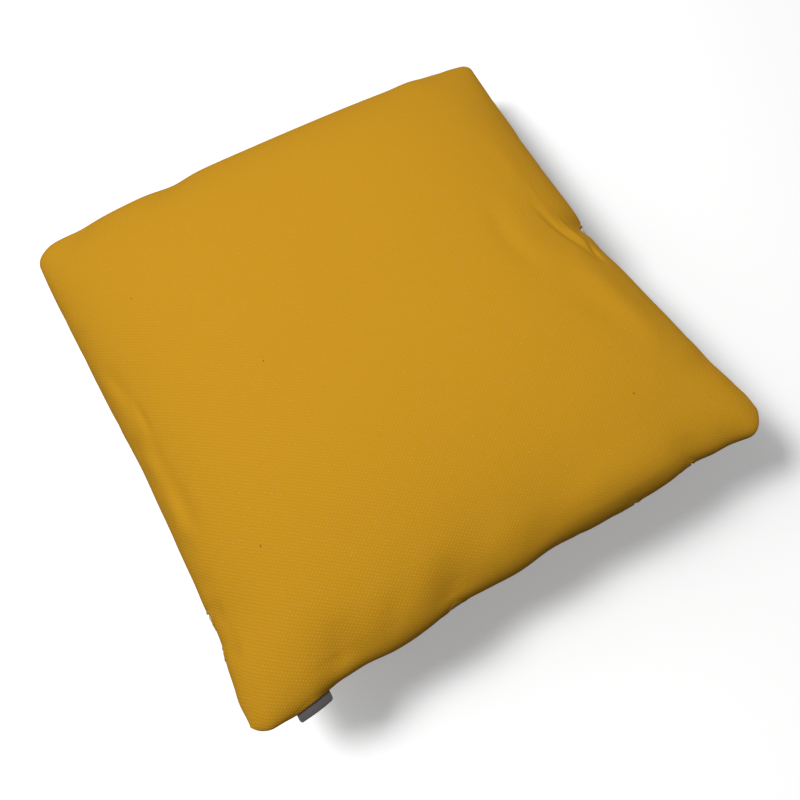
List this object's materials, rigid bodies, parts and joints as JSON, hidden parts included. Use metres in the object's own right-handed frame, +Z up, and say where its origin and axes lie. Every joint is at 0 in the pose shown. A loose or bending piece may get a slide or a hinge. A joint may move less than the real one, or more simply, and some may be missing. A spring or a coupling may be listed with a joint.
{
  "type": "throw cushion",
  "caption": "Square filled throw cushion with a knife edge, a crowned face, drawn-in sides and a small folded tape label in its seam.",
  "frame": {"origin": "on the resting surface, under the middle of the bounding box", "axes": "+Z up, out of the crowned front panel; X and Y along the sides; the label stands out of the -Y side, near its -X end"},
  "size_m": [0.487, 0.4956, 0.1262],
  "materials": {
    "mustard_cloth": "matt woven wool, mustard yellow",
    "grey_tape": "matt woven tape, dark grey"
  },
  "bodies": {
    "root": {"cushion": "mustard_cloth", "label_tab": "grey_tape"}
  },
  "joints": []
}
